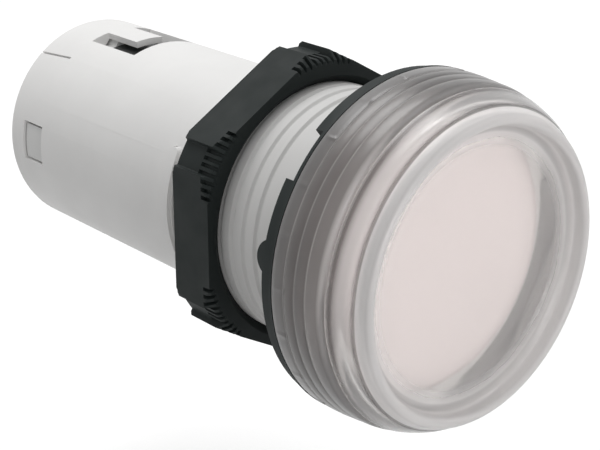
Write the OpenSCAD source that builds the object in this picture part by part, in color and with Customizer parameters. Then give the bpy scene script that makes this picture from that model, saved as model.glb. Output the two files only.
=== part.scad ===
// Panel pilot light for a 22 mm panel hole.
// The optical axis lies along Y: the lens faces -Y and the terminals face +Y.
// The origin is on the axis, in the plane where the gasket meets the panel.

/* [Head] */
// Reach of the lens beyond the neck, which covers the panel hole
head_reach = 3.55; // [3:0.05:6.5]
// Height of the lens in front of the gasket
lens_h = 8.4; // [7.4:0.1:11]
// Axial length of the smooth band at the back of the lens
band_h = 1.4; // [0.8:0.1:2]
// Wall of the lens skirt round the housing flange
lens_skirt = 1.4; // [1.2:0.05:2]
// Distance from the outside of the lens to the foremost ring of its rim
rim_inset = 2.5; // [2:0.1:3.5]
// Width of the flat on top of the rim
rim_w = 0.5; // [0.3:0.05:1]
// Radial width of the slope from the rim down to the dish floor
dish_slope = 1.95; // [1:0.05:4]
// Depth of the dish floor below the rim
dish_depth = 1.5; // [0.8:0.1:2]
// Wall of the lens behind the dish floor
lens_wall = 1.2; // [0.8:0.1:1.6]
// Number of fine ridges round the lens skirt
skirt_ridges = 3; // [0:1:5]
// Height of each ridge above the skirt
ridge_h = 0.07; // [0.03:0.01:0.12]
// Number of short grip ribs round the rear band
band_ribs = 22; // [8:1:24]
// Height of the grip ribs above the band
band_rib_h = 0.06; // [0.04:0.01:0.1]
// Width of each grip rib, in degrees
band_rib_w = 1.2; // [0.8:0.1:2]
// Gap between the diffuser cup and the lens round it
diffuser_gap = 1; // [0.5:0.1:2]
// Wall of the diffuser cup
diffuser_wall = 1; // [0.6:0.1:1.2]
// Radial width of the rounded front edge of the diffuser
diffuser_round = 3.2; // [1.5:0.1:4]

/* [Panel seal] */
// Thickness of the gasket between the lens and the panel
gasket_t = 1.5; // [1:0.1:2.5]
// Step from the outside of the lens in to the collar of the gasket
gasket_inset = 0.3; // [0.2:0.05:1]
// Thickness of the thin lip under the collar
gasket_lip = 0.3; // [0.2:0.05:0.6]
// Angle at the middle of the cut-away in the collar
gasket_gap_at = 136.8; // [120:1:150]
// Width of the cut-away in the collar, in degrees
gasket_gap_w = 17.5; // [6:0.5:24]
// Width of the key that stops the light turning in the panel
key_w = 3; // [2:0.1:3.2]
// Height of the key behind the gasket
key_h = 2.3; // [1:0.1:2.5]
// Radial reach of the key outside the neck
key_reach = 1.7; // [1:0.1:1.9]
// Angle of the key round the axis
key_at = 173.5; // [160:0.5:200]

/* [Housing] */
// Outer diameter of the threaded neck
neck_d = 21.9; // [21:0.1:22.2]
// Length of the neck behind the panel plane
neck_len = 15.6; // [15.6:0.1:20]
// Step down from the neck to the body, over which the nut passes
body_step = 0.85; // [0.5:0.05:1.2]
// Length of the body behind the panel plane
body_len = 42.4; // [42:0.2:60]
// Thickness of the flange inside the lens
flange_t = 2.2; // [1.6:0.1:3]
// Wall of the body where the terminal carrier sits
body_wall = 1.1; // [0.9:0.05:1.2]
// Step that the terminal carrier rests against
carrier_step = 0.3; // [0.2:0.05:0.5]
// Rounding of the rear rim
rim_round = 0.35; // [0.1:0.05:0.6]

/* [Locking nut] */
// Wall of the nut between the thread and each flat
nut_wall = 1.45; // [1.2:0.05:3]
// Height of the trimmed corners above the flats
nut_corner = 1.3; // [1:0.05:1.6]
// Depth of the relief cut into each corner
nut_relief = 0.55; // [0.3:0.05:0.9]
// Half width of the relief at each corner, in degrees
nut_relief_half = 5; // [3:0.5:8]
// Length of the nut along the thread
nut_h = 4.5; // [3.5:0.1:6]
// Distance from the panel plane to the front of the nut
nut_at = 8.6; // [8:0.1:9]
// Height of the rim of the nut's front face above the flats
nut_face = 0.5; // [0.3:0.05:0.9]
// Axial length of the corner chamfer
nut_chamfer = 0.9; // [0.5:0.1:1.2]
// Number of grip grooves at each corner
nut_teeth = 10; // [4:1:12]
// Angle covered by the grip grooves at each corner
nut_teeth_span = 27; // [18:1:30]
// Length of the grip grooves behind the front face
nut_teeth_l = 2.2; // [1:0.1:4]
// Radial gap between the nut and the neck
thread_gap = 0.05; // [0.02:0.01:0.1]

/* [Body openings] */
// Distance from the rear rim to the front edge of the latch windows
window_from_rear = 5.4; // [5:0.1:7]
// Length of the latch windows along the axis
window_l = 3.1; // [2:0.1:3.4]
// Width of the latch windows round the body, in degrees
window_w = 21.5; // [14:0.5:26]
// Length of the slit in the rear rim
slit_l = 4.7; // [2:0.1:6]
// Width of the slit in the rear rim
slit_w = 0.3; // [0.2:0.05:0.5]
// Angle of the slit round the axis
slit_at = 126; // [115:1:135]
// Distance from the rear rim to the root of the top tongue
tongue_from_rear = 4.8; // [4.2:0.1:6]
// Length of the slots beside the top tongue
tongue_slot_l = 6.8; // [5:0.1:9]
// Gap in front of the free end of the tongue
tongue_end_gap = 2.2; // [1:0.1:3]
// Half width of the tongue, in degrees
tongue_half = 8.5; // [6:0.5:11]
// Half width of the slotted area, in degrees
slot_half = 19.5; // [16:0.5:24]
// Distance from the end of the neck to the side ribs
rib_gap = 1.1; // [1:0.1:4]
// Axial width of the side ribs
rib_w = 1.2; // [0.8:0.1:1.6]
// Height of the side ribs above the body
rib_h = 0.4; // [0.2:0.05:0.45]
// Half length of the side ribs, in degrees
rib_half = 26; // [18:1:32]
// Axial width of the slot in front of each side rib
rib_slot_w = 0.45; // [0.3:0.05:0.6]

/* [Terminals] */
// Distance of the rear cover's face inside the rear rim
cover_inset = 0.5; // [0.3:0.1:1]
// Thickness of the rear wall of the cover
cover_wall = 1.6; // [1.2:0.1:2]
// Depth of the cover from its face to its front edge
cover_depth = 5.4; // [5:0.1:7]
// Wall of the cover's skirt
cover_skirt = 0.75; // [0.6:0.05:0.75]
// Thickness of the barrier between the two terminals
barrier_w = 1; // [0.8:0.1:1.4]
// Gap between the barrier and each clamp plate
barrier_gap = 0.9; // [0.4:0.1:1.2]
// Gap between the clamp plates and the skirt of the cover
clamp_gap = 0.49; // [0.1:0.01:1]
// Corner chamfer of the clamp plates
clamp_corner = 0.5; // [0.2:0.1:1]
// Difference between the clamp plates and the smaller wire entries
entry_less = 0.8; // [0.6:0.1:1.6]
// Length of the terminal carrier
carrier_l = 9.4; // [9:0.1:12]
// Thickness of the clamp plates
clamp_t = 0.8; // [0.6:0.1:1]
// Thickness of the terminal strips
strip_t = 0.8; // [0.5:0.1:1]
// Thread diameter of the terminal screws
screw_d = 3; // [2.5:0.1:3]
// Thread length of the terminal screws
screw_l = 6.2; // [4:0.1:6.4]
// Difference between the screw heads and the smaller clamp plates
head_more = 0.2; // [-0.6:0.1:0.3]
// Head height of the terminal screws
screw_head_h = 2; // [1.4:0.1:2.2]

/* [Electronics] */
// Thickness of both circuit boards
board_t = 1.6; // [1:0.1:1.6]
// Gap between the edges of the main board and the bore
board_edge = 1.4; // [0.4:0.1:3]
// Number of LEDs on the round board
led_count = 6; // [6:1:6]
// Radius of the ring of LEDs
led_ring_r = 5.2; // [4.6:0.1:5.8]
// Room left above the electrolytic capacitor in the bore
cap_room = 1.7; // [1:0.1:4]
// Length of the electrolytic capacitor
cap_l = 11; // [7:0.5:12]
// Gap between the film capacitor's corner and the bore
film_room = 0.45; // [0.2:0.05:2]
// Length of the film capacitor
film_l = 12; // [8:0.5:13]
// Room left above the film capacitor on the middle plane
film_top_room = 3; // [1:0.1:5]
// Diameter of the resistors
resistor_d = 2.4; // [1.8:0.1:2.8]
// Room left below the varistor in the bore
varistor_room = 1.6; // [1:0.1:4]

/* [Hidden] */
$fn = 96;
// Clearance between fixed pieces that slip into each other
fit_gap = 0.05;
// Gap between flat faces that turn or lift off each other
face_gap = 0.03;
// Overlap that lets a cut run clean through a surface
cut = 0.1;

neck_r = neck_d / 2;
body_r = neck_r - body_step;
head_r = neck_r + head_reach;
band_r = head_r - band_rib_h;
crest_r = head_r - rim_inset;
dish_r = crest_r - rim_w;
dish_floor_r = dish_r - dish_slope;
gasket_r = head_r - gasket_inset;
bore_r = body_r - body_wall;
front_bore_r = bore_r - carrier_step;

// Lens section, measured forward from the back of the lens
skirt_inner_r = head_r - lens_skirt;
flange_r = skirt_inner_r - 2 * fit_gap;
skirt_back_r = band_r - 0.05;
skirt_front_r = head_r - 0.4;
groove_r = head_r - 0.85;
groove_at = 0.6 * lens_h;
groove_w = 0.35;
shoulder_r = head_r - 0.55;
shoulder_at = groove_at + groove_w + 0.2;
dish_floor_at = lens_h - dish_depth;
lens_inner_at = dish_floor_at - lens_wall;
cavity_r = flange_r - 0.6;
diffuser_r = cavity_r - diffuser_gap;
diffuser_front = lens_inner_at - 0.3;
band_rib_at = 97.5;
ridge_pitch = (groove_at - band_h) / (skirt_ridges + 1);

// Axial places behind the panel plane
carrier_front = body_len - cover_inset - cover_depth - fit_gap - carrier_l;
carrier_back = carrier_front + carrier_l;
cover_front = carrier_back + fit_gap;
cover_back = cover_front + cover_depth;
strip_back = carrier_back;
clamp_front = strip_back + face_gap;
head_front = clamp_front + clamp_t + face_gap;
ledge_at = 0.5;
ledge_t = 1;
ledge_r = front_bore_r - 0.8;
led_board_r = front_bore_r - 2 * fit_gap;
board_front = ledge_at + ledge_t + 0.5;
board_slot_depth = 3;
rib_at = neck_len + rib_gap;
board_back = carrier_front + board_slot_depth;
board_top = board_t / 2;
parts_front = board_front + 4;
board_w = 2 * (front_bore_r - board_edge);

// Nut sizes, from the thread outwards
nut_bore_r = neck_r + thread_gap;
nut_flat_r = neck_r + nut_wall;
nut_corner_r = nut_flat_r + nut_corner;
nut_relief_r = nut_corner_r - nut_relief;
nut_face_r = nut_flat_r + nut_face;
nut_groove_depth = 0.3;

// The largest square clamps that fit side by side inside the cover's skirt
cover_inner_r = bore_r - fit_gap - cover_skirt;
clamp_reach = cover_inner_r - clamp_gap;
clamp_in = barrier_w / 2 + barrier_gap;
clamp_low = clamp_corner + 0.2;
clamp_sum = clamp_in - clamp_low;
clamp_rest = clamp_in * clamp_in + clamp_low * clamp_low - clamp_reach * clamp_reach;
clamp_side = (sqrt(clamp_sum * clamp_sum - 2 * clamp_rest) - clamp_sum) / 2;
terminal_x = clamp_in + clamp_side / 2;
terminal_z = 0.2 - clamp_side / 2;
wire_entry = clamp_side - entry_less;
screw_head_d = clamp_side + head_more;

// Sizes of the parts on the main board, from the room in the bore
cap_r = (front_bore_r - board_top - cap_room) / 2;
cap_z = board_top + cap_r + fit_gap;
cap_x = -sqrt(pow(front_bore_r - 0.3 - cap_r, 2) - cap_z * cap_z);
film_x = 0.8;
film_h = front_bore_r - board_top - film_top_room;
film_w = sqrt(pow(front_bore_r - film_room, 2) - pow(board_top + film_h, 2)) - film_x;
varistor_r = (front_bore_r - board_top - varistor_room) / 2;
varistor_t = 3;
resistor_x = varistor_t / 2 + 0.7 + resistor_d / 2;

// Points of a quadratic curve from a to c, pulled towards b
function curve(a, b, c, n) = [
    for (i = [0:n])
        let (t = i / n)
        (1 - t) * (1 - t) * a + 2 * t * (1 - t) * b + t * t * c
];

// Places a child that is drawn on +X at an angle round the Y axis
module at_angle(theta) {
    rotate([0, -theta, 0]) children();
}

// Turns a section drawn as (radius, y) round the Y axis
module turned() {
    rotate([-90, 0, 0]) rotate_extrude() children();
}

// Turns a section drawn as (radius, height) forward from the gasket
module turned_forward() {
    translate([0, -gasket_t, 0]) rotate([90, 0, 0]) rotate_extrude() children();
}

// Solid ring or pipe between two radii and two places on the axis
module ring(inner, outer, from, to) {
    turned() translate([inner, from]) square([outer - inner, to - from]);
}

// Part of a ring, centred on an angle
module ring_sector(inner, outer, from, to, theta, half) {
    at_angle(theta)
        rotate([-90, 0, 0])
            rotate([0, 0, -half])
                rotate_extrude(angle = 2 * half)
                    translate([inner, from])
                        square([outer - inner, to - from]);
}

// Cylinder along +Y from a point
module rod_y(r, from, to, x = 0, z = 0) {
    translate([x, from, z]) rotate([-90, 0, 0]) cylinder(r = r, h = to - from);
}

// Box between two corners
module box_between(low, high) {
    translate(low) cube(high - low);
}

module lens_section() {
    ridges = [
        for (i = [1:1:skirt_ridges])
            let (u = band_h + i * ridge_pitch)
            let (r = skirt_back_r - (skirt_back_r - skirt_front_r) * (u - band_h) / (groove_at - band_h))
            each [[r, u - 0.14], [r + ridge_h, u - 0.04], [r + ridge_h, u + 0.04], [r, u + 0.14]]
    ];
    rim = curve([shoulder_r, shoulder_at], [shoulder_r - 0.6, lens_h - 1.2], [crest_r, lens_h], 8);
    dish = curve(
        [dish_r, lens_h - 0.75],
        [dish_r - 0.35, dish_floor_at + 0.1],
        [dish_floor_r, dish_floor_at],
        6
    );
    polygon(concat(
        [[skirt_inner_r, 0], [band_r - 0.15, 0], [band_r, 0.15], [band_r, band_h]],
        [[skirt_back_r, band_h + 0.1]],
        ridges,
        [[skirt_front_r, groove_at - 0.15], [groove_r, groove_at], [groove_r, groove_at + groove_w]],
        rim,
        [[crest_r - 0.25, lens_h], [dish_r + 0.05, lens_h - 0.3]],
        dish,
        [[0, dish_floor_at], [0, lens_inner_at]],
        [[cavity_r - 0.7, lens_inner_at], [cavity_r, lens_inner_at - 0.7]],
        [[cavity_r, flange_t + 0.4], [skirt_inner_r, flange_t + 0.1]]
    ));
}

module lens() {
    color([0.78, 0.75, 0.74, 0.8])
        union() {
            turned_forward() lens_section();
            for (k = [0:band_ribs - 1])
                ring_sector(
                    band_r - 0.3, head_r,
                    -gasket_t - band_h + 0.1, -gasket_t - 0.15,
                    band_rib_at + 360 * k / band_ribs, band_rib_w / 2
                );
        }
}

// Outside of the diffuser's edge and front, at a distance inside its surface
function diffuser_edge(inside) =
    let (r = diffuser_r - inside)
    let (front = diffuser_front - inside)
    concat(
        [[r, flange_t]],
        curve([r, flange_t + 0.8], [r - 0.2, front - 0.15], [r - diffuser_round, front], 8),
        [[0, front]]
    );

module diffuser() {
    inner = diffuser_edge(diffuser_wall);
    color([0.95, 0.93, 0.92])
        turned_forward()
            polygon(concat(diffuser_edge(0), [for (i = [len(inner) - 1:-1:0]) inner[i]]));
}

// Upright tab with a rounded end that sits in the notch of the panel hole
module gasket_key() {
    straight = gasket_t + key_h - key_w / 2;
    at_angle(key_at)
        intersection() {
            translate([neck_r - 0.5, 0, 0])
                rotate([0, 90, 0])
                    linear_extrude(key_reach + 2) {
                        translate([-key_w / 2, 0.2 - gasket_t]) square([key_w, straight - 0.2]);
                        translate([0, key_h - key_w / 2]) circle(d = key_w);
                    }
            rod_y(neck_r + key_reach, -gasket_t, key_h + cut);
        }
}

module panel_gasket() {
    lip_r = head_r - 0.05;
    color([0.13, 0.15, 0.15])
        difference() {
            union() {
                rod_y(lip_r, -gasket_t, gasket_lip - gasket_t);
                difference() {
                    turned()
                        polygon([
                            [0, -gasket_t + gasket_lip / 2],
                            [gasket_r, -gasket_t + gasket_lip / 2],
                            [gasket_r, -0.15],
                            [gasket_r - 0.15, 0],
                            [0, 0]
                        ]);
                    ring_sector(
                        gasket_r - 1.3, head_r + 1,
                        gasket_lip / 3 - gasket_t, 1,
                        gasket_gap_at, gasket_gap_w / 2
                    );
                }
                gasket_key();
            }
            rod_y(neck_r + fit_gap, -gasket_t - 1, key_h + 1);
        }
}

module housing_section() {
    polygon(concat(
        [[front_bore_r, -gasket_t - flange_t]],
        [[flange_r - 0.3, -gasket_t - flange_t], [flange_r, 0.3 - gasket_t - flange_t]],
        [[flange_r, -gasket_t], [neck_r, -gasket_t]],
        [[neck_r, neck_len - 0.6], [body_r, neck_len]],
        [
            for (i = [0:4])
                let (a = 90 * i / 4)
                [
                    body_r - rim_round + rim_round * cos(a),
                    body_len - rim_round + rim_round * sin(a)
                ]
        ],
        [[bore_r, body_len], [bore_r, carrier_front], [front_bore_r, carrier_front]],
        [[front_bore_r, ledge_at + ledge_t], [ledge_r, ledge_at + ledge_t]],
        [[ledge_r, ledge_at], [front_bore_r, ledge_at]]
    ));
}

// Arc rib with rounded ends, on one side of the body
module side_rib(s) {
    reach = (body_r + rib_h) * sin(rib_half) - rib_w / 2;
    intersection() {
        ring(body_r - 0.3, body_r + rib_h, rib_at, rib_at + rib_w);
        translate([s > 0 ? body_r / 2 : -body_r - 1, rib_at + rib_w / 2, 0])
            rotate([0, 90, 0])
                linear_extrude(body_r / 2 + 1) {
                    square([2 * reach, rib_w + cut], center = true);
                    for (e = [-1, 1]) translate([e * reach, 0]) circle(d = rib_w);
                }
    }
}

module body_cuts() {
    window_front = body_len - window_from_rear;
    slot_back = body_len - tongue_from_rear;
    slot_front = slot_back - tongue_slot_l;
    // Latch windows on both sides
    for (theta = [0, 180])
        ring_sector(
            bore_r - cut, body_r + 1,
            window_front, window_front + window_l,
            theta, window_w / 2
        );
    // Slit in the rear rim
    at_angle(slit_at)
        translate([bore_r - cut, body_len - slit_l, -slit_w / 2])
            cube([body_wall + 1, slit_l + 1, slit_w]);
    // U-shaped slot that frees the top tongue
    difference() {
        ring_sector(bore_r - cut, body_r + 1, slot_front, slot_back, 90, slot_half);
        ring_sector(
            bore_r - 1, body_r + 2,
            slot_front + tongue_end_gap, slot_back + 1,
            90, tongue_half
        );
    }
    // Relief slots in front of the side ribs
    for (theta = [0, 180])
        ring_sector(
            front_bore_r - cut, body_r + 1,
            rib_at - rib_slot_w - cut, rib_at - cut,
            theta, rib_half - 5
        );
}

module housing() {
    color([0.87, 0.87, 0.86])
        union() {
            difference() {
                turned() housing_section();
                body_cuts();
            }
            for (s = [-1, 1]) side_rib(s);
        }
}

// Turned envelope of the nut: corner chamfer at the front, small break at the back
module nut_envelope() {
    turned()
        polygon([
            [0, nut_at],
            [nut_face_r, nut_at],
            [nut_corner_r, nut_at + nut_chamfer],
            [nut_corner_r, nut_at + nut_h - 0.3],
            [nut_corner_r - 0.3, nut_at + nut_h],
            [0, nut_at + nut_h]
        ]);
}

// Cuts at one corner of the nut: its relief and the grip grooves across it
module nut_corner_cuts() {
    pitch = nut_teeth_span / nut_teeth;
    groove_w = nut_relief_r * pitch * PI / 180 / 2;
    ring_sector(
        nut_relief_r, nut_corner_r + 1,
        nut_at - 1, nut_at + nut_h + 1,
        0, nut_relief_half
    );
    for (i = [0:nut_teeth - 1])
        at_angle((i - (nut_teeth - 1) / 2) * pitch)
            translate([nut_relief_r - nut_groove_depth, nut_at - 1, -groove_w / 2])
                cube([2, nut_teeth_l + 1, groove_w]);
}

module locking_nut() {
    color([0.13, 0.15, 0.15])
        difference() {
            intersection() {
                translate([0, nut_at, 0])
                    rotate([-90, 0, 0])
                        rotate([0, 0, 30])
                            cylinder(r = nut_flat_r / cos(30), h = nut_h, $fn = 6);
                nut_envelope();
            }
            // Threaded bore with a countersink at each end
            turned()
                polygon([
                    [0, nut_at - cut],
                    [nut_bore_r + 0.45 + cut, nut_at - cut],
                    [nut_bore_r, nut_at + 0.45],
                    [nut_bore_r, nut_at + nut_h - 0.35],
                    [nut_bore_r + 0.35 + cut, nut_at + nut_h + cut],
                    [0, nut_at + nut_h + cut]
                ]);
            for (k = [0:5]) at_angle(30 + 60 * k) nut_corner_cuts();
        }
}

module latch(theta) {
    front = body_len - window_from_rear + 0.25;
    length = window_l - 0.5;
    half = (window_w - 2.5) / 2;
    ring_sector(bore_r - 0.4, body_r - 0.2, front, front + length, theta, half);
}

module rear_cover() {
    r = bore_r - fit_gap;
    wall_front = cover_back - cover_wall;
    entry_x = terminal_x - 0.65;
    color([0.84, 0.84, 0.83])
        union() {
            difference() {
                turned()
                    polygon([
                        [0, wall_front],
                        [cover_inner_r, wall_front],
                        [cover_inner_r, cover_front],
                        [r, cover_front],
                        [r, cover_back - 0.3],
                        [r - 0.3, cover_back],
                        [0, cover_back]
                    ]);
                for (s = [-1, 1]) {
                    rod_y(screw_head_d / 2 + 0.3, wall_front - 1, cover_back + 1, s * terminal_x, terminal_z);
                    translate([s * entry_x - wire_entry / 2, cover_front - 1, terminal_z + wire_entry])
                        cube([wire_entry, cover_depth + 2, wire_entry]);
                }
            }
            // Barrier between the two terminals
            intersection() {
                box_between([-barrier_w / 2, cover_front, -r], [barrier_w / 2, wall_front + cut, r]);
                rod_y(cover_inner_r + cut, cover_front - 1, cover_back);
            }
            for (theta = [0, 180]) latch(theta);
        }
}

// Room in the carrier for one terminal strip and its screw
module terminal_pocket(s) {
    x = s * terminal_x;
    half = clamp_side / 2;
    box_between(
        [x - half - fit_gap, strip_back - strip_t, terminal_z - half - fit_gap],
        [x + half + fit_gap, strip_back + 1, board_top + strip_t + 0.1]
    );
    box_between(
        [x - 1.3, carrier_front - 1, board_top],
        [x + 1.3, strip_back + 1, board_top + strip_t + 0.1]
    );
    rod_y(screw_d / 2 + 0.2, strip_back - screw_l, strip_back, x, terminal_z);
}

module terminal_carrier() {
    color([0.16, 0.17, 0.17])
        difference() {
            rod_y(bore_r - fit_gap, carrier_front, carrier_back);
            // Groove for the back end of the main board
            box_between(
                [-board_w / 2 - fit_gap, carrier_front - 1, -board_t / 2 - fit_gap],
                [board_w / 2 + fit_gap, board_back + fit_gap, board_t / 2 + fit_gap]
            );
            for (s = [-1, 1]) terminal_pocket(s);
        }
}

// Bent strip: a square pad under the screw and a tail to the main board
module terminal_strip(s) {
    x = s * terminal_x;
    half = clamp_side / 2;
    tail_low = board_top + 0.02;
    color([0.83, 0.69, 0.4])
        difference() {
            union() {
                box_between(
                    [x - half, strip_back - strip_t, terminal_z - half],
                    [x + half, strip_back, tail_low + strip_t]
                );
                box_between(
                    [x - 1.25, carrier_front + 0.4, tail_low],
                    [x + 1.25, strip_back, tail_low + strip_t]
                );
            }
            rod_y(screw_d / 2 + fit_gap, strip_back - strip_t - 1, strip_back + 1, x, terminal_z);
        }
}

module clamp_plate(s) {
    half = clamp_side / 2;
    corner = clamp_corner;
    color([0.72, 0.72, 0.72])
        translate([s * terminal_x, clamp_front, terminal_z])
            rotate([-90, 0, 0])
                difference() {
                    linear_extrude(clamp_t)
                        polygon([
                            [-half + corner, -half], [half - corner, -half],
                            [half, -half + corner], [half, half - corner],
                            [half - corner, half], [-half + corner, half],
                            [-half, half - corner], [-half, -half + corner]
                        ]);
                    translate([0, 0, -1]) cylinder(r = screw_d / 2 + 0.07, h = clamp_t + 2);
                }
}

module terminal_screw(s) {
    head_r = screw_head_d / 2;
    back = head_front + screw_head_h;
    color([0.78, 0.77, 0.74])
        translate([s * terminal_x, 0, terminal_z])
            difference() {
                turned()
                    polygon([
                        [0, head_front - screw_l],
                        [screw_d / 2 - 0.4, head_front - screw_l],
                        [screw_d / 2, head_front - screw_l + 0.4],
                        [screw_d / 2, head_front],
                        [head_r, head_front],
                        [head_r, back - 0.4],
                        [head_r - 0.4, back],
                        [0, back]
                    ]);
                box_between([-head_r - 1, back - 0.9, -0.4], [head_r + 1, back + 1, 0.4]);
                box_between([-0.4, back - 1.2, -1.5], [0.4, back + 1, 1.5]);
            }
}

module main_board() {
    color([0.1, 0.32, 0.2])
        box_between(
            [-board_w / 2, board_front, -board_t / 2],
            [board_w / 2, board_back, board_t / 2]
        );
}

header_pins = 3;
header_pitch = 2.54;
header_pin = 0.64;
header_z = board_top + header_pin / 2 + 0.9;

// Calls its children at each pin of the header
module each_header_pin() {
    for (i = [0:header_pins - 1])
        translate([(i - (header_pins - 1) / 2) * header_pitch, 0, header_z]) children();
}

module led_board() {
    hole = header_pin / 2 + 0.1;
    color([0.93, 0.93, 0.9])
        difference() {
            rod_y(led_board_r, ledge_at - board_t, ledge_at);
            each_header_pin()
                box_between([-hole, ledge_at - board_t - 1, -hole], [hole, ledge_at + 1, hole]);
        }
}

module board_header() {
    half = header_pin / 2;
    length = header_pins * header_pitch;
    color([0.2, 0.2, 0.2])
        union() {
            box_between(
                [-length / 2, board_front, board_top],
                [length / 2, board_front + header_pitch, board_top + header_pitch]
            );
            each_header_pin()
                box_between(
                    [-half, ledge_at - board_t - 0.6, -half],
                    [half, board_front + header_pitch + 1, half]
                );
        }
}

module led(k) {
    front = ledge_at - board_t;
    color([0.97, 0.95, 0.82])
        at_angle(90 + 360 * k / led_count)
            translate([led_ring_r, front, 0])
                difference() {
                    box_between([-1.4, -1.6, -1.75], [1.4, 0, 1.75]);
                    rotate([90, 0, 0])
                        translate([0, 0, 1.2]) cylinder(r1 = 0.95, r2 = 1.2, h = 0.5);
                }
}

module electrolytic_capacitor() {
    r = cap_r;
    color([0.2, 0.22, 0.3])
        translate([cap_x, parts_front, cap_z])
            turned()
                polygon([
                    [0, 0], [r - 0.3, 0], [r, 0.3], [r, 1.2], [r - 0.25, 1.5], [r, 1.8],
                    [r, cap_l - 0.3], [r - 0.3, cap_l], [0, cap_l]
                ]);
}

module film_capacitor() {
    color([0.75, 0.2, 0.16])
        box_between(
            [film_x, parts_front, board_top],
            [film_x + film_w, parts_front + film_l, board_top + film_h]
        );
}

module bridge_rectifier() {
    low = -board_t / 2;
    color([0.15, 0.15, 0.16])
        translate([0, parts_front + 13, low])
            union() {
                box_between([-2.35, 0, -2.5], [2.35, 3.8, -0.2]);
                for (x = [-3.1, 2.35], y = [0.4, 2.7])
                    box_between([x, y, -0.5], [x + 0.75, y + 0.7, 0]);
            }
}

module resistor(k) {
    r = resistor_d / 2;
    x = k == 1 ? -resistor_x : resistor_x;
    z = -board_t / 2 - r - fit_gap;
    length = 6.5;
    color([0.78, 0.68, 0.52])
        union() {
            translate([x, parts_front + 2, z])
                turned()
                    polygon([
                        [0, 0], [r - 0.3, 0], [r, 0.3], [r, 1.3], [r - 0.2, 1.6],
                        [r - 0.2, length - 1.6], [r, length - 1.3],
                        [r, length - 0.3], [r - 0.3, length], [0, length]
                    ]);
            rod_y(0.3, parts_front + 0.6, parts_front + 2 + length + 1.4, x, z);
            for (y = [parts_front + 0.6, parts_front + 2 + length + 0.8])
                box_between([x - 0.3, y, z], [x + 0.3, y + 0.6, -board_t / 2]);
        }
}

module varistor() {
    r = varistor_r;
    color([0.15, 0.3, 0.6])
        translate([-varistor_t / 2, parts_front + 12.8 - r, -board_top - r - fit_gap])
            rotate([0, 90, 0])
                rotate_extrude()
                    polygon([
                    [0, 0], [r - 0.8, 0], [r, 0.8],
                    [r, varistor_t - 0.8], [r - 0.8, varistor_t], [0, varistor_t]
                ]);
}

lens();
diffuser();
panel_gasket();
housing();
locking_nut();
rear_cover();
terminal_carrier();
terminal_strip(-1);  // terminal_strip_1
terminal_strip(1);  // terminal_strip_2
clamp_plate(-1);  // clamp_plate_1
clamp_plate(1);  // clamp_plate_2
terminal_screw(-1);  // terminal_screw_1
terminal_screw(1);  // terminal_screw_2
main_board();
led_board();
board_header();
led(1);  // led_1
led(2);  // led_2
led(3);  // led_3
led(4);  // led_4
led(5);  // led_5
led(6);  // led_6
electrolytic_capacitor();
film_capacitor();
bridge_rectifier();
resistor(1);  // resistor_1
resistor(2);  // resistor_2
varistor();
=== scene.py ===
import math

import bmesh
import bpy
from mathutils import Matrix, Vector


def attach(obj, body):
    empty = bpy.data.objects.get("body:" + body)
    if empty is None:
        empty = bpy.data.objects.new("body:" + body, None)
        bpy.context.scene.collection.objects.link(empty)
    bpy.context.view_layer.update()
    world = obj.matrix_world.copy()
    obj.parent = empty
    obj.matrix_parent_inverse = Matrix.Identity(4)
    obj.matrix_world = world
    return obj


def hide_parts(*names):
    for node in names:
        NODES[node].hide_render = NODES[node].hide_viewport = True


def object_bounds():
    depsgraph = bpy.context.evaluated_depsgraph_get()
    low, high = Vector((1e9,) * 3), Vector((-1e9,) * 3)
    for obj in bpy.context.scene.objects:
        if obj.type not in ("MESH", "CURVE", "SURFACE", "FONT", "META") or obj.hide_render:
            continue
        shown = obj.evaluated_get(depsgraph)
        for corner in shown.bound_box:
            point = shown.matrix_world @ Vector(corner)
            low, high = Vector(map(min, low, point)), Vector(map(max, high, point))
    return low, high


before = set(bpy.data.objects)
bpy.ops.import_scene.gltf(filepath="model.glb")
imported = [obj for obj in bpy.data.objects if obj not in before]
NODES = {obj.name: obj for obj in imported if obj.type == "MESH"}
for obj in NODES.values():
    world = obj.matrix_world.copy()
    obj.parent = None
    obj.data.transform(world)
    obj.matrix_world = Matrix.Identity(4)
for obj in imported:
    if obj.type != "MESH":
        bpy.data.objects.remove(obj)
CAD_BOX = [list(map(float, c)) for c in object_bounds()]
MM = 0.001
TURN = 2.0 * math.pi

scene = bpy.context.scene
scene.view_settings.view_transform = "Standard"


# ---------------------------------------------------------------- camera
VIEW_AZIMUTH, VIEW_ELEVATION = -41.27, 21.74  # degrees
VIEW_TARGET = Vector((-6.157, 4.642, 1.392)) * MM
VIEW_DISTANCE = 0.119253
VIEW_LENS, VIEW_SENSOR = 89.447, 36.0  # mm
VIEW_CLIP = (0.005, 10.0)


def place_camera():
    """Camera at the photograph's viewpoint."""
    az, el = math.radians(VIEW_AZIMUTH), math.radians(VIEW_ELEVATION)
    back = Vector((math.sin(az) * math.cos(el), -math.cos(az) * math.cos(el), math.sin(el)))
    data = bpy.data.cameras.new("camera")
    data.sensor_width = VIEW_SENSOR
    data.lens = VIEW_LENS
    data.clip_start, data.clip_end = VIEW_CLIP
    cam = bpy.data.objects.new("camera", data)
    cam.location = VIEW_TARGET + back * VIEW_DISTANCE
    cam.rotation_euler = back.to_track_quat("Z", "Y").to_euler()
    scene.collection.objects.link(cam)
    scene.camera = cam


place_camera()


# ---------------------------------------------------------------- node helpers
NOISE_LOW, NOISE_HIGH = 0.3, 0.7  # the part of a noise's range that is spread over a material's range


def new_material(name):
    mat = bpy.data.materials.new(name)
    mat.use_nodes = True
    nt = mat.node_tree
    nt.nodes.clear()
    out = nt.nodes.new("ShaderNodeOutputMaterial")
    bsdf = nt.nodes.new("ShaderNodeBsdfPrincipled")
    nt.links.new(bsdf.outputs[0], out.inputs["Surface"])
    return mat, nt, bsdf, out


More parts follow.
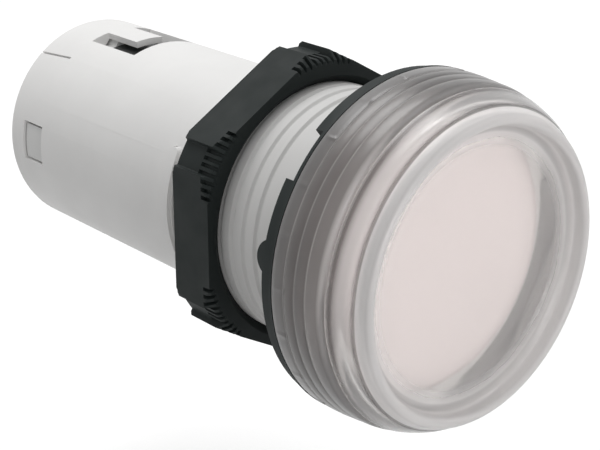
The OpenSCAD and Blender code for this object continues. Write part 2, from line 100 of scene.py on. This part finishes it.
def coords(nt):
    return nt.nodes.new("ShaderNodeTexCoord").outputs["Object"]


def noise_tex(nt, scale, detail=3.0, rough=0.5, vector=None):
    n = nt.nodes.new("ShaderNodeTexNoise")
    n.inputs["Scale"].default_value = scale
    n.inputs["Detail"].default_value = detail
    n.inputs["Roughness"].default_value = rough
    nt.links.new(vector if vector is not None else coords(nt), n.inputs["Vector"])
    return n.outputs["Fac"]


def ramp(nt, fac, stops):
    r = nt.nodes.new("ShaderNodeValToRGB")
    el = r.color_ramp.elements
    while len(el) < len(stops):
        el.new(0.5)
    for e, (p, c) in zip(el, stops):
        e.position = p
        e.color = (c[0], c[1], c[2], 1.0)
    nt.links.new(fac, r.inputs["Fac"])
    return r.outputs["Color"]


def map_range(nt, value, lo, hi, to_lo, to_hi):
    m = nt.nodes.new("ShaderNodeMapRange")
    m.inputs["From Min"].default_value = lo
    m.inputs["From Max"].default_value = hi
    m.inputs["To Min"].default_value = to_lo
    m.inputs["To Max"].default_value = to_hi
    nt.links.new(value, m.inputs["Value"])
    return m.outputs["Result"]


def spread(nt, noise, to_lo, to_hi):
    """Noise spread over a range."""
    return map_range(nt, noise, NOISE_LOW, NOISE_HIGH, to_lo, to_hi)


def blend(nt, noise, low, high):
    """Colour that runs from low to high with a noise."""
    return ramp(nt, noise, [(NOISE_LOW, low), (NOISE_HIGH, high)])


def math_node(nt, operation, a, b):
    m = nt.nodes.new("ShaderNodeMath")
    m.operation = operation
    for socket, v in zip(m.inputs, (a, b)):
        if isinstance(v, float):
            socket.default_value = v
        else:
            nt.links.new(v, socket)
    return m.outputs[0]


def bump(nt, bsdf, height, strength, distance):
    b = nt.nodes.new("ShaderNodeBump")
    b.inputs["Strength"].default_value = strength
    b.inputs["Distance"].default_value = distance
    nt.links.new(height, b.inputs["Height"])
    nt.links.new(b.outputs[0], bsdf.inputs["Normal"])


def mark(nt, name):
    """Value that a lathed piece carries at each point of its section."""
    a = nt.nodes.new("ShaderNodeAttribute")
    a.attribute_name = name
    return a.outputs["Fac"]


def mix_shader(nt, factor, first, second):
    mix = nt.nodes.new("ShaderNodeMixShader")
    nt.links.new(factor, mix.inputs[0])
    nt.links.new(first, mix.inputs[1])
    nt.links.new(second, mix.inputs[2])
    return mix.outputs[0]


# ---------------------------------------------------------------- kinds of material
CLOUD_SCALE, GLOSS_SCALE, GRAIN_SCALE = 140.0, 420.0, 2600.0
DRAWN_SCALE = (900.0, 900.0, 30.0)
SMOKE_DARK = (0.092, 0.081, 0.079)
SMOKE_LIGHT = (0.124, 0.110, 0.107)
CLEAR_TINT = (0.96, 0.935, 0.925, 1.0)
LENS_INDEX = 1.36
MILK_ROUGHNESS = 0.50
COAT_WEIGHT, COAT_ROUGHNESS, COAT_INDEX = 0.6, 0.35, 1.5
SHADOW_GAMMA = 0.5


def moulded(name, colour, rough=0.42, vary=0.04, grain_depth=4e-6, spec=0.5):
    """Moulded plastic: a faint cloudy tone, fine grain in the bump and uneven gloss."""
    mat, nt, bsdf, _ = new_material(name)
    dark = [c * (1.0 - vary) for c in colour]
    light = [min(1.0, c * (1.0 + vary)) for c in colour]
    cloud = noise_tex(nt, CLOUD_SCALE, 4.0, 0.6)
    nt.links.new(blend(nt, cloud, dark, light), bsdf.inputs["Base Color"])
    uneven = spread(nt, noise_tex(nt, GLOSS_SCALE), rough - 0.05, rough + 0.06)
    nt.links.new(uneven, bsdf.inputs["Roughness"])
    bump(nt, bsdf, noise_tex(nt, GRAIN_SCALE, 3.0, 0.6), 0.5, grain_depth)
    bsdf.inputs["Specular IOR Level"].default_value = spec
    return mat


def metal(name, colour, rough=0.3):
    """Plated or plain metal with fine drawn scratches and slightly blotchy tone."""
    mat, nt, bsdf, _ = new_material(name)
    drawn = nt.nodes.new("ShaderNodeMapping")
    drawn.inputs["Scale"].default_value = DRAWN_SCALE
    nt.links.new(coords(nt), drawn.inputs["Vector"])
    lines = noise_tex(nt, 4.0, 4.0, 0.6, drawn.outputs[0])
    dull = [c * 0.86 for c in colour]
    nt.links.new(blend(nt, noise_tex(nt, 600.0), dull, colour), bsdf.inputs["Base Color"])
    nt.links.new(spread(nt, lines, rough - 0.08, rough + 0.12), bsdf.inputs["Roughness"])
    bsdf.inputs["Metallic"].default_value = 1.0
    bump(nt, bsdf, lines, 0.35, 4e-6)
    return mat


def board_material(name, mask, trace):
    """Solder mask with the faint relief of tracks under it."""
    mat, nt, bsdf, _ = new_material(name)
    wave = nt.nodes.new("ShaderNodeTexWave")
    wave.inputs["Scale"].default_value = 260.0
    wave.inputs["Distortion"].default_value = 2.5
    nt.links.new(coords(nt), wave.inputs["Vector"])
    tracks = ramp(nt, wave.outputs["Fac"], [(0.55, mask), (0.62, trace)])
    nt.links.new(tracks, bsdf.inputs["Base Color"])
    nt.links.new(spread(nt, noise_tex(nt, 700.0), 0.25, 0.4), bsdf.inputs["Roughness"])
    bump(nt, bsdf, wave.outputs["Fac"], 0.3, 2e-5)
    return mat


def lens_material():
    """Satin clear plastic, smoked round the skirt, milky on the rim and clear over the disc, with painted
    shade and painted highlights in its tint.

    The two marks say, at each point of the lens's section, how much smoky tint the plastic has, with painted
    shade and painted highlights set into it, and how much milky plastic it has.
    """
    mat, nt, bsdf, out = new_material("smoked_clear_plastic")
    smoke_and_shade, milk = mark(nt, "smoke_and_shade"), mark(nt, "milk")
    dark = blend(nt, noise_tex(nt, 180.0), SMOKE_DARK, SMOKE_LIGHT)
    # The first mark darkens the tint: a smoky tint with painted shade and painted highlights set along the
    # section
    tint = nt.nodes.new("ShaderNodeMix")
    tint.data_type = "RGBA"
    tint.inputs["A"].default_value = CLEAR_TINT
    nt.links.new(smoke_and_shade, tint.inputs["Factor"])
    nt.links.new(dark, tint.inputs["B"])
    colour = tint.outputs["Result"]
    nt.links.new(colour, bsdf.inputs["Base Color"])
    uneven = spread(nt, noise_tex(nt, 500.0), 0.05, 0.09)
    rough = math_node(nt, "MULTIPLY", milk, MILK_ROUGHNESS)
    nt.links.new(math_node(nt, "ADD", rough, uneven), bsdf.inputs["Roughness"])
    nt.links.new(map_range(nt, milk, 0.0, 1.0, 1.0, 0.0), bsdf.inputs["Transmission Weight"])
    bsdf.inputs["IOR"].default_value = LENS_INDEX
    bump(nt, bsdf, noise_tex(nt, 900.0, 3.0, 0.6), 0.25, 3e-6)
    # Thin satin coat: its gloss grows towards grazing sight lines by its own index alone
    bsdf.inputs["Coat Weight"].default_value = COAT_WEIGHT
    bsdf.inputs["Coat Roughness"].default_value = COAT_ROUGHNESS
    bsdf.inputs["Coat IOR"].default_value = COAT_INDEX
    # Light from the lamps reaches what lies inside the cap, tinted by its walls
    path = nt.nodes.new("ShaderNodeLightPath")
    through = nt.nodes.new("ShaderNodeBsdfTransparent")
    root = nt.nodes.new("ShaderNodeGamma")
    root.inputs["Gamma"].default_value = SHADOW_GAMMA
    nt.links.new(colour, root.inputs["Color"])
    nt.links.new(root.outputs[0], through.inputs["Color"])
    wall = mix_shader(nt, path.outputs["Is Shadow Ray"], bsdf.outputs[0], through.outputs[0])
    nt.links.new(wall, out.inputs["Surface"])
    return mat


# ---------------------------------------------------------------- materials
LIGHT_GREY = moulded("housing_plastic", (0.82, 0.815, 0.805), rough=0.48, vary=0.02, spec=0.35)
# Darker grey of the same plastic for the neck: painted shade between the nut and the lens
NECK_SHADE_GREY = moulded("neck_painted_shade", (0.70, 0.695, 0.685), rough=0.52, vary=0.02, spec=0.30)
COVER_GREY = moulded("cover_plastic", (0.72, 0.72, 0.71), rough=0.48, vary=0.03, spec=0.35)
OPAL = moulded("opal_plastic", (0.69, 0.64, 0.635), rough=0.55, vary=0.015)
NUT_BLACK = moulded(
    "nut_plastic", (0.0105, 0.0145, 0.0140), rough=0.62, vary=0.10, grain_depth=7e-6, spec=0.20)
RUBBER = moulded(
    "seal_rubber", (0.020, 0.025, 0.0245), rough=0.65, vary=0.12, grain_depth=9e-6, spec=0.22)
CARRIER_BLACK = moulded(
    "carrier_plastic", (0.030, 0.033, 0.033), rough=0.5, vary=0.12, grain_depth=7e-6)
ZINC = metal("zinc_plated_steel", (0.66, 0.66, 0.64), rough=0.32)
BRASS = metal("brass_strip", (0.78, 0.58, 0.29), rough=0.30)
BOARD = board_material("board_green", (0.015, 0.13, 0.05), (0.03, 0.20, 0.09))
LED_BOARD = board_material("board_white", (0.82, 0.82, 0.79), (0.74, 0.74, 0.70))
LED_BODY = moulded("led_resin", (0.90, 0.86, 0.62), rough=0.3, vary=0.04)
HEADER = moulded("header_plastic", (0.03, 0.03, 0.03), rough=0.5, vary=0.1)
CAN = moulded("capacitor_sleeve", (0.03, 0.04, 0.09), rough=0.3, vary=0.1)
FILM = moulded("film_resin", (0.45, 0.05, 0.03), rough=0.3, vary=0.08)
EPOXY = moulded("rectifier_resin", (0.03, 0.03, 0.032), rough=0.45, vary=0.1)
LACQUER = moulded("resistor_lacquer", (0.55, 0.42, 0.25), rough=0.35, vary=0.06)
DISC = moulded("varistor_coat", (0.03, 0.09, 0.36), rough=0.35, vary=0.08)
SMOKED = lens_material()

FINISH = {
    "lens": SMOKED, "diffuser": OPAL, "panel_gasket": RUBBER, "housing": LIGHT_GREY,
    "locking_nut": NUT_BLACK, "rear_cover": COVER_GREY, "terminal_carrier": CARRIER_BLACK,
    "terminal_strip_1": BRASS, "terminal_strip_2": BRASS, "clamp_plate_1": ZINC,
    "clamp_plate_2": ZINC, "terminal_screw_1": ZINC, "terminal_screw_2": ZINC,
    "main_board": BOARD, "led_board": LED_BOARD, "board_header": HEADER,
    "led_1": LED_BODY, "led_2": LED_BODY, "led_3": LED_BODY, "led_4": LED_BODY,
    "led_5": LED_BODY, "led_6": LED_BODY, "electrolytic_capacitor": CAN,
    "film_capacitor": FILM, "bridge_rectifier": EPOXY, "resistor_1": LACQUER,
    "resistor_2": LACQUER, "varistor": DISC,
}
for node_name, finish in FINISH.items():
    node_mesh = NODES[node_name].data
    node_mesh.materials.clear()
    node_mesh.materials.append(finish)


# ---------------------------------------------------------------- mesh helpers
def finish_mesh(name, mesh, mat, body, node, sharp_deg=30.0):
    """Makes a mesh a piece that rides on a body and stands for a CAD node."""
    bm = bmesh.new()
    bm.from_mesh(mesh)
    bmesh.ops.remove_doubles(bm, verts=bm.verts, dist=1e-7)
    bmesh.ops.recalc_face_normals(bm, faces=bm.faces)
    limit = math.radians(sharp_deg)
    for f in bm.faces:
        f.smooth = True
    for e in bm.edges:
        if len(e.link_faces) == 2 and e.calc_face_angle(0.0) > limit:
            e.smooth = False
    bm.to_mesh(mesh)
    bm.free()
    mesh.materials.clear()
    mesh.materials.append(mat)
    obj = bpy.data.objects.new(name, mesh)
    scene.collection.objects.link(obj)
    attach(obj, body)
    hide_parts(node)


def point(r, a, y):
    """Place in metres of a point at radius r and height y, in mm, and angle a round the Y axis."""
    return r * MM * math.cos(a), y * MM, r * MM * math.sin(a)


def lathe(name, profile, segments, shape=None, marks=None):
    """Closed section of (radius, y) points in mm, turned round the Y axis.
    shape(i, angle, radius, y) may move a point; marks holds one value per point under each name."""
    bm = bmesh.new()
    marks = marks or {}
    layers = {key: bm.verts.layers.float.new(key) for key in marks}
    rings = []
    for k in range(segments):
        a = TURN * k / segments
        ring = []
        for i, (r, y) in enumerate(profile):
            rr, yy = (r, y) if shape is None else shape(i, a, r, y)
            v = bm.verts.new(point(rr, a, yy))
            for key, layer in layers.items():
                v[layer] = marks[key][i]
            ring.append(v)
        rings.append(ring)
    n = len(profile)
    for k in range(segments):
        a, b = rings[k], rings[(k + 1) % segments]
        for i in range(n):
            j = (i + 1) % n
            if profile[i][0] < 1e-6 and profile[j][0] < 1e-6:
                continue
            bm.faces.new((a[i], a[j], b[j], b[i]))
    bmesh.ops.remove_doubles(bm, verts=bm.verts, dist=1e-8)
    flat = [f for f in bm.faces if f.calc_area() < 1e-16]
    if flat:
        bmesh.ops.delete(bm, geom=flat, context="FACES_ONLY")
    mesh = bpy.data.meshes.new(name)
    bm.to_mesh(mesh)
    bm.free()
    return mesh


def bezier(a, b, c, n, skip_first=False):
    """Points of a curve from a to c that leans towards b."""
    pts = []
    for i in range(1 if skip_first else 0, n + 1):
        t = i / n
        pts.append(tuple((1 - t) ** 2 * a[q] + 2 * t * (1 - t) * b[q] + t * t * c[q] for q in (0, 1)))
    return pts


def between(x, knots):
    """Straight lines between (x, value) knots."""
    for (x0, v0), (x1, v1) in zip(knots, knots[1:]):
        if x <= x1:
            return v0 + (v1 - v0) * max(0.0, (x - x0) / (x1 - x0))
    return knots[-1][1]


# ---------------------------------------------------------------- lens
BACK = -1.5  # y of the plane behind the lens; its section counts u forward from there

# Share of smoky tint along the outside, by u: a smoky skirt that clears towards the window; its darkness is
# partly the smoky plastic and partly painted shade for the dark inside of the cap.
# These rings and those below are set to the photograph: the dark rings are painted shade for creases and
# stripes that the real cap has by refraction, and the lighter rings at the ridge edges are painted
# highlights.
SKIRT_SMOKE_AND_SHADE = [
    (0.0, 0.70), (0.5, 0.80), (1.28, 0.90), (1.36, 0.45), (1.42, 0.95), (2.32, 1.0),
    (2.40, 0.70), (2.50, 1.0), (3.42, 1.0), (3.50, 0.70), (3.60, 1.0), (4.60, 0.95),
    (4.82, 0.60), (5.10, 0.40), (5.36, 0.30), (5.45, 0.50), (5.58, 0.97), (5.82, 0.97),
    (6.00, 0.50), (6.25, 0.12), (6.50, 0.03), (6.95, 0.03), (7.10, 0.15), (7.24, 0.80),
    (7.38, 0.80), (7.44, 0.05), (8.10, 0.0), (8.18, 0.22), (8.26, 0.0),
]
# Share of milky plastic on the skirt, and along the rim by u
SKIRT_MILK = 0.45
RIM_MILK = [(5.45, 0.40), (6.0, 0.32), (7.20, 0.32), (7.40, 0.62), (8.10, 0.62), (8.40, 0.72)]
# Share of painted shade across the dish, by radius: a dark ring at the dish's edge, set into the smoky tint;
# and share of milky plastic across the dish, by radius
DISH_PAINTED_SHADE = [(0.0, 0.0), (10.92, 0.0), (11.05, 0.28), (11.40, 0.25), (11.50, 0.0)]
DISH_MILK = [
    (0.0, 0.03), (7.5, 0.05), (9.5, 0.12), (10.4, 0.38), (10.9, 0.65), (11.4, 0.55), (11.62, 0.75),
]

BAND_R = 14.44
RIB_COUNT, RIB_FIRST, RIB_PITCH = 22, 97.5, 16.0  # degrees
RIB_HALF, RIB_HEIGHT = math.radians(0.62), 0.06
RIB_FROM, RIB_TO, RIB_OUTSIDE = 0.15, 1.32, 14.39
RIDGE_EDGES = (1.40, 2.40, 3.50, 4.70)
RIDGE_STEPS, RIDGE_R, RIDGE_TAPER, RIDGE_CROWN = 12, 14.38, 0.085, 0.075
WINDOW_FRONT, WINDOW_REAR = 6.9, 5.7
LENS_SEGMENTS = 528


def lens_piece():
    """Clear cap: band with grip ribs, ridged skirt, groove, stepped rim and dished window."""
    outer = [(14.30, 0.0), (14.40, 0.03)] + [(BAND_R, u) for u in (0.12, 0.5, 0.9, 1.28)] + [(14.41, 1.36)]
    for u0, u1 in zip(RIDGE_EDGES, RIDGE_EDGES[1:]):
        for q in range(RIDGE_STEPS + 1):
            t = q / RIDGE_STEPS
            u = u0 + (u1 - u0) * t
            base = RIDGE_R - (u - RIDGE_EDGES[0]) * RIDGE_TAPER
            outer.append((base + RIDGE_CROWN * math.sin(math.pi * t) ** 0.6, u))
    outer += [(14.02, 4.82), (13.86, 4.95), (13.66, 5.02), (13.62, 5.10), (13.66, 5.22), (13.84, 5.34)]
    rim = bezier((13.93, 5.45), (13.50, 6.85), (13.04, 7.26), 14)
    rim += [(12.98, 7.31), (12.94, 7.38)]
    rim += bezier((12.90, 7.46), (12.60, 8.36), (12.12, 8.40), 10)
    rim += bezier((12.12, 8.40), (11.80, 8.42), (11.62, 8.02), 6, True)
    dish = bezier((11.62, 8.02), (11.50, 7.10), (10.90, 7.00), 10, True)
    dish += bezier((10.90, 7.00), (10.30, 6.90), (9.55, WINDOW_FRONT), 6, True)
    top = [(r, WINDOW_FRONT) for r in (9.0, 8.0, 6.0, 4.0, 2.0, 0.0)]
    under = [(r, WINDOW_REAR) for r in (0.0, 2.0, 4.0, 6.0, 8.0, 9.4)]
    under += bezier((9.4, WINDOW_REAR), (10.7, 5.72), (11.25, 6.20), 6, True)
    under += bezier((11.25, 6.20), (11.85, 6.95), (12.20, 6.95), 4, True)
    under += bezier((12.20, 6.95), (12.62, 6.95), (12.74, 5.90), 6, True)
    under += [(12.72, 5.3), (12.86, 4.95), (13.05, 4.6), (13.08, 3.5), (13.1, 2.3), (13.1, 1.2), (13.1, 0.0)]
    profile = [(r, BACK - u) for r, u in outer + rim + dish + top + under]
    # Smoky tint along the section, with painted shade and painted highlights in it
    smoke_and_shade = [between(u, SKIRT_SMOKE_AND_SHADE) for _, u in outer + rim]
    smoke_and_shade += [between(r, DISH_PAINTED_SHADE) for r, _ in dish + top]
    milk = [SKIRT_MILK] * len(outer) + [between(u, RIM_MILK) for _, u in rim]
    milk += [between(r, DISH_MILK) for r, _ in dish + top]
    inside = [0.0] * len(under)
    rib_at = [math.radians(RIB_FIRST + RIB_PITCH * k) for k in range(RIB_COUNT)]

    def ribs(_, a, r, y):
        if r > RIB_OUTSIDE and RIB_FROM < BACK - y < RIB_TO:
            if any(abs((a - c + math.pi) % TURN - math.pi) < RIB_HALF for c in rib_at):
                return r + RIB_HEIGHT, y
        return r, y

    marks = {"smoke_and_shade": smoke_and_shade + inside, "milk": milk + inside}
    mesh = lathe("lens_cap", profile, LENS_SEGMENTS, ribs, marks)
    finish_mesh("lens_cap", mesh, SMOKED, "light", "lens", 32.0)


lens_piece()


# ---------------------------------------------------------------- diffuser
DIFFUSER_FRONT, DIFFUSER_SEGMENTS = 4.0, 256


def diffuser_piece():
    """Opal cup with a broadly rounded edge, seen through the window."""
    outer = [(11.4, 2.2), (11.4, 2.3)]
    dome = bezier((11.4, 2.3), (11.2, DIFFUSER_FRONT), (8.9, DIFFUSER_FRONT), 24, True)
    top = [(r, DIFFUSER_FRONT) for r in (7.0, 5.0, 3.0, 0.0)]
    under = [(0.0, 3.0), (8.6, 3.0), (10.4, 2.2)]
    profile = [(r, BACK - u) for r, u in outer + dome + top + under]
    mesh = lathe("diffuser_cup", profile, DIFFUSER_SEGMENTS)
    finish_mesh("diffuser_cup", mesh, OPAL, "light", "diffuser", 40.0)


diffuser_piece()


# ---------------------------------------------------------------- locking nut
NUT_FRONT, NUT_REAR = 8.60, 13.10
NUT_FLAT, NUT_CORNER = 12.40, 13.70  # from the axis
NUT_FACE = 12.90  # radius at which the front bevel starts
FRONT_BEVEL, REAR_BEVEL = 0.9, 0.3
RELIEF_R, RELIEF_HALF, RELIEF_EDGE = 13.15, 4.7, 0.5  # the halved angles are in degrees
TEETH, TOOTH_PITCH, TOOTH_HALF = 10, 2.7, 0.24  # pitch in degrees, half a groove as a share of it
GROOVE_DEPTH, GROOVE_END = 0.26, 10.35
NOTCH_DEPTH, NOTCH_END = 0.42, 9.40
NUT_SEGMENTS = 1440


def nut_outline(deg, y):
    """Radius of the nut's outside."""
    from_flat = (deg + 30.0) % 60.0 - 30.0
    from_corner = abs(deg % 60.0 - 30.0)
    bevel = NUT_FACE + (y - NUT_FRONT) / FRONT_BEVEL * (NUT_CORNER - NUT_FACE)
    r = min(NUT_FLAT / math.cos(math.radians(from_flat)), NUT_CORNER, bevel)
    r = min(r, NUT_CORNER - max(0.0, y - (NUT_REAR - REAR_BEVEL)))
    if from_corner < RELIEF_HALF + RELIEF_EDGE:
        rise = max(0.0, from_corner - RELIEF_HALF) / RELIEF_EDGE
        r = min(r, RELIEF_R + rise * (NUT_CORNER - RELIEF_R))
    place = (deg % 60.0 - 30.0) / TOOTH_PITCH + TEETH / 2.0
    if 0.0 <= place < TEETH and abs(place % 1.0 - 0.5) < TOOTH_HALF:
        if from_corner < RELIEF_HALF:
            r -= GROOVE_DEPTH if y < GROOVE_END else 0.0
        elif y < NOTCH_END:
            r -= NOTCH_DEPTH
    return r


def nut_piece():
    """Hexagon nut: relieved corners with grooves, and short notches along its front edge."""
    rows = [NUT_FRONT, 8.80, 9.00, 9.20, 9.38, 9.42, 9.52, 9.90, 10.33, 10.37]
    rows += [11.2, 12.0, 12.80, 12.95, NUT_REAR]
    bore = [(11.35, NUT_REAR), (11.02, 12.75), (11.02, 9.15), (11.60, NUT_FRONT)]
    profile = [(NUT_FLAT, y) for y in rows] + bore

    def shape(i, a, r, y):
        return (nut_outline(math.degrees(a), y), y) if i < len(rows) else (r, y)

    mesh = lathe("hex_nut", profile, NUT_SEGMENTS, shape)
    finish_mesh("hex_nut", mesh, NUT_BLACK, "nut", "locking_nut", 26.0)


nut_piece()


# ---------------------------------------------------------------- rear cover
WINDOW_TURN = 3.4  # degrees that the latch windows and latches move up
RIB_SPAN, RIB_SPAN_CAD = 31.0, 26.0  # degrees that the side ribs reach up
SLIT_AT, TONGUE_AT = 126.0, 90.0
TONGUE_INNER_R = 9.5


def settle(co):
    """Turns the side openings, their ribs and the slit a little round the body, and thins the tongue."""
    x, y, z = (c / MM for c in co)
    r, deg = math.hypot(x, z), math.degrees(math.atan2(z, x))
    side = deg if x > 0 else (180.0 - deg if deg > 0 else -180.0 - deg)
    if r > 8.85 and 36.9 < y < 40.3 and abs(side) < 12.0:
        side += WINDOW_TURN
    elif r > 8.0 and 16.1 < y < 18.1 and 0.0 < side < 27.0:
        side *= RIB_SPAN / RIB_SPAN_CAD
    elif r > 8.85 and y > 37.6 and abs(deg - SLIT_AT) < 1.3:
        side -= (1.4 if y > 42.0 else -1.0) - 0.3 * (deg - SLIT_AT)
    elif 8.9 < r < 9.1 and 32.9 < y < 37.7 and abs(deg - TONGUE_AT) < 8.8:
        r = TONGUE_INNER_R
    else:
        return co
    turn = math.radians(side if x > 0 else 180.0 - side)
    return Vector((r * math.cos(turn), y, r * math.sin(turn))) * MM


def cover_piece():
    """Copy of the rear cover whose latches follow the windows."""
    mesh = NODES["rear_cover"].data.copy()
    for v in mesh.vertices:
        v.co = settle(v.co)
    finish_mesh("terminal_cover", mesh, COVER_GREY, "light", "rear_cover")


cover_piece()


# ---------------------------------------------------------------- housing with its thread
NECK_R, NECK_FRONT, NECK_END = 10.95, -1.5, 15.0
CHAMFER = [(NECK_R, NECK_END), (10.81, 15.1), (10.10, 15.6)]
CHAMFER_INSIDE = 10.05
THREAD_DEPTH, THREAD_ROW, ROWS_PER_TURN = 0.24, 0.06, 25  # so the pitch is 1.5 mm
NECK_SEGMENTS = 240
THREAD_START = 0.30
# Depth of the thread by share of the pitch (crest, flank, root, flank), and its fade at both ends by y
THREAD_SECTION = [(0.62, 0.0), (0.74, 1.0), (0.88, 1.0), (1.0, 0.0)]
THREAD_FADE = [(3.4, 0.0), (4.3, 1.0), (14.6, 1.0), (NECK_END, 0.0)]
# Faces of the neck outside this radius get the painted shade
NECK_SHADE_OUTSIDE = 10.4


def on_neck(face):
    """True for a face of the plain neck or of the chamfer behind it."""
    ys = [v.co.y / MM for v in face.verts]
    rs = [math.hypot(v.co.x, v.co.z) / MM for v in face.verts]
    if max(ys) - min(ys) < 0.01:
        return False
    neck = min(ys) > NECK_FRONT - 0.001 and max(ys) < NECK_END + 0.001
    neck = neck and all(abs(r - NECK_R) < 0.002 for r in rs)
    chamfer = min(rs) > CHAMFER_INSIDE and min(ys) > NECK_END - 0.01 and max(ys) < CHAMFER[-1][1] + 0.01
    return neck or chamfer


def add_chamfer(bm):
    """Chamfer behind the thread, with facets as fine as the thread's so that both shade alike."""
    rings = [[bm.verts.new(point(r, TURN * k / NECK_SEGMENTS, y)) for k in range(NECK_SEGMENTS)]
             for r, y in CHAMFER]
    for low, high in zip(rings, rings[1:]):
        for k in range(NECK_SEGMENTS):
            bm.faces.new((low[k - 1], low[k], high[k], high[k - 1]))


def add_thread(bm):
    """Helical thread that fades in behind the gasket.
    Its rows of points follow the helix, so each one keeps its place on the thread's section."""
    rows = round((NECK_END - NECK_FRONT) / THREAD_ROW) + ROWS_PER_TURN
    grid = []
    for k in range(NECK_SEGMENTS):
        column = []
        for i in range(rows + 1):
            y = NECK_FRONT + THREAD_ROW * (i - ROWS_PER_TURN * k / NECK_SEGMENTS)
            y = min(NECK_END, max(NECK_FRONT, y))
            share = (i / ROWS_PER_TURN + THREAD_START) % 1.0
            r = NECK_R - THREAD_DEPTH * between(share, THREAD_SECTION) * between(y, THREAD_FADE)
            column.append(bm.verts.new(point(r, TURN * k / NECK_SEGMENTS, y)))
        grid.append(column)
    # After a full turn each row meets the one that is a pitch further on
    closing = [grid[0][max(i - ROWS_PER_TURN, 0)] for i in range(rows + 1)]
    for a, b in zip(grid, grid[1:] + [closing]):
        for i in range(rows):
            if b[i] == b[i + 1]:
                bm.faces.new((a[i], b[i], a[i + 1]))
            else:
                bm.faces.new((a[i], b[i], b[i + 1], a[i + 1]))
    bmesh.ops.remove_doubles(bm, verts=[v for column in grid for v in column], dist=1e-7)


def housing_piece():
    """Copy of the housing with a thread and a finer chamfer in place of its plain neck, with painted shade
    on the neck.
    """
    bm = bmesh.new()
    bm.from_mesh(NODES["housing"].data)
    bmesh.ops.remove_doubles(bm, verts=bm.verts, dist=1e-7)
    for v in bm.verts:
        v.co = settle(v.co)
    bmesh.ops.delete(bm, geom=[f for f in bm.faces if on_neck(f)], context="FACES")
    add_chamfer(bm)
    add_thread(bm)
    mesh = bpy.data.meshes.new("threaded_housing")
    bm.to_mesh(mesh)
    bm.free()
    finish_mesh("threaded_housing", mesh, LIGHT_GREY, "light", "housing", 28.0)
    # The neck gets a darker grey than the housing: painted shade, matched to the photograph, where it stands
    # in shade between the nut and the lens
    mesh.materials.append(NECK_SHADE_GREY)
    for face in mesh.polygons:
        x, y, z = face.center / MM
        if math.hypot(x, z) > NECK_SHADE_OUTSIDE and 0.0 < y < NECK_END:
            face.material_index = 1


housing_piece()


# ---------------------------------------------------------------- stage
FLOOR_DARK, FLOOR_LIGHT = (0.46, 0.46, 0.46), (0.48, 0.48, 0.48)
FLOOR_GLOW, FLOOR_HALF, FLOOR_DROP = 0.62, 1.5, 0.020
WORLD_LIT, WORLD_SEEN = 0.46, 1.0
LAMP_TARGET = Vector((0.0, 0.012, 0.0))


def seen_or_lit(nt, lit, seen):
    """Shows `seen` to camera, glossy and transmission rays and `lit` to all others."""
    path = nt.nodes.new("ShaderNodeLightPath")
    rays = math_node(nt, "MAXIMUM", path.outputs["Is Camera Ray"], path.outputs["Is Glossy Ray"])
    rays = math_node(nt, "MAXIMUM", rays, path.outputs["Is Transmission Ray"])
    return mix_shader(nt, rays, lit, seen)


def add_floor():
    mat, nt, bsdf, out = new_material("floor_pale")
    nt.links.new(blend(nt, noise_tex(nt, 12.0, 2.0), FLOOR_DARK, FLOOR_LIGHT), bsdf.inputs["Base Color"])
    bsdf.inputs["Roughness"].default_value = 0.9
    glow = nt.nodes.new("ShaderNodeEmission")
    glow.inputs["Strength"].default_value = FLOOR_GLOW
    add = nt.nodes.new("ShaderNodeAddShader")
    nt.links.new(bsdf.outputs[0], add.inputs[0])
    nt.links.new(glow.outputs[0], add.inputs[1])
    nt.links.new(seen_or_lit(nt, bsdf.outputs[0], add.outputs[0]), out.inputs["Surface"])
    bm = bmesh.new()
    bmesh.ops.create_grid(bm, x_segments=8, y_segments=8, size=FLOOR_HALF)
    mesh = bpy.data.meshes.new("floor")
    bm.to_mesh(mesh)
    bm.free()
    mesh.materials.append(mat)
    floor = bpy.data.objects.new("floor", mesh)
    floor.location = (0.0, 0.0, CAD_BOX[0][2] - FLOOR_DROP)
    scene.collection.objects.link(floor)


def add_world():
    world = bpy.data.worlds.new("studio")
    scene.world = world
    world.use_nodes = True
    nt = world.node_tree
    nt.nodes.clear()
    out = nt.nodes.new("ShaderNodeOutputWorld")
    backgrounds = []
    for strength in (WORLD_LIT, WORLD_SEEN):
        background = nt.nodes.new("ShaderNodeBackground")
        background.inputs["Color"].default_value = (1.0, 1.0, 1.0, 1.0)
        background.inputs["Strength"].default_value = strength
        backgrounds.append(background.outputs[0])
    nt.links.new(seen_or_lit(nt, *backgrounds), out.inputs["Surface"])


def add_lamp(name, place, size, power):
    data = bpy.data.lights.new(name, "AREA")
    data.shape = "DISK"
    data.size = size
    data.energy = power
    lamp = bpy.data.objects.new(name, data)
    lamp.location = place
    lamp.rotation_euler = (Vector(place) - LAMP_TARGET).to_track_quat("Z", "Y").to_euler()
    scene.collection.objects.link(lamp)


add_floor()
add_world()
add_lamp("key", (0.02, 0.14, 0.34), 0.26, 0.78)
add_lamp("fill", (-0.10, -0.59, 0.08), 0.20, 0.80)
